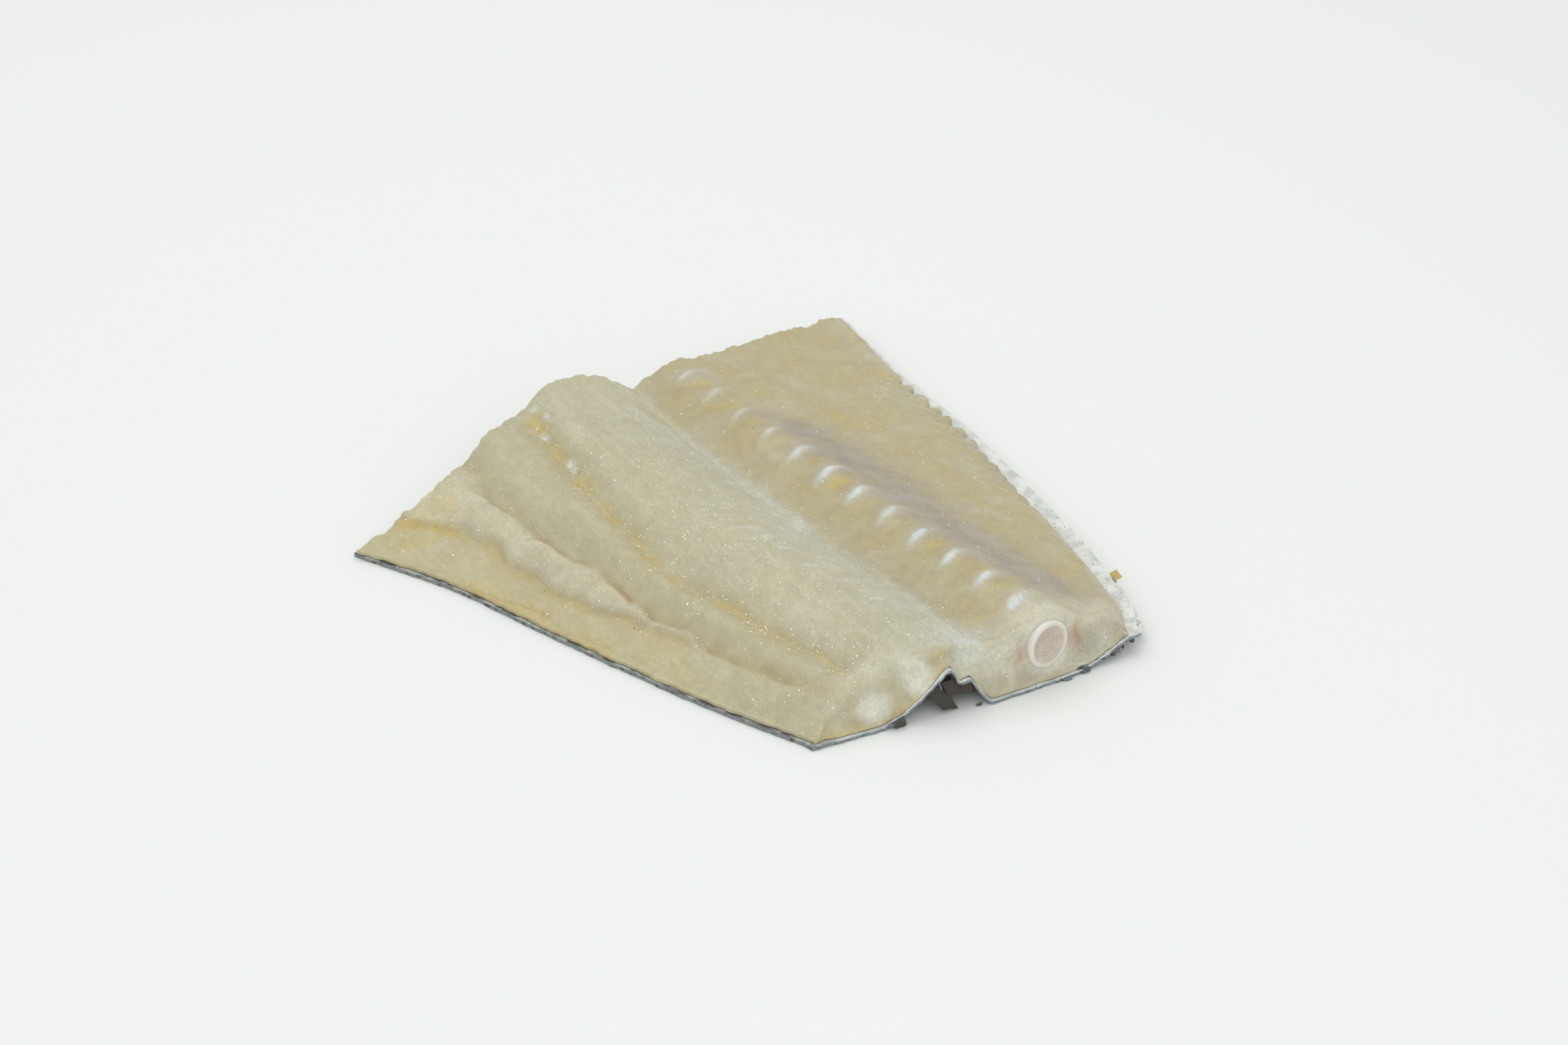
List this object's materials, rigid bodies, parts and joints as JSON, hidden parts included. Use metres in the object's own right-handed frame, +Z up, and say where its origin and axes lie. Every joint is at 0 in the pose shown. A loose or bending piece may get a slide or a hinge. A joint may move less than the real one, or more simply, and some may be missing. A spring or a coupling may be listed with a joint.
{
  "type": "salted dried cod",
  "caption": "Tail-end cut of salted dried cod, split open and lying skin side down, with the backbone in one half.",
  "frame": {"origin": "centre of the part's box in plan, at its foot, where the skin lies on the table", "axes": "+X across the fish from the left half to the right half, +Y along the fish from the narrower cut to the wider cut, +Z up, away from the skin"},
  "size_m": [0.167, 0.1742, 0.0205],
  "materials": {
    "flesh": null,
    "skin": null,
    "backbone": null,
    "fin_stub": null
  },
  "bodies": {
    "root": {"flesh": "flesh", "skin": "skin", "backbone": "backbone", "fin_stub": "fin_stub"}
  },
  "joints": []
}
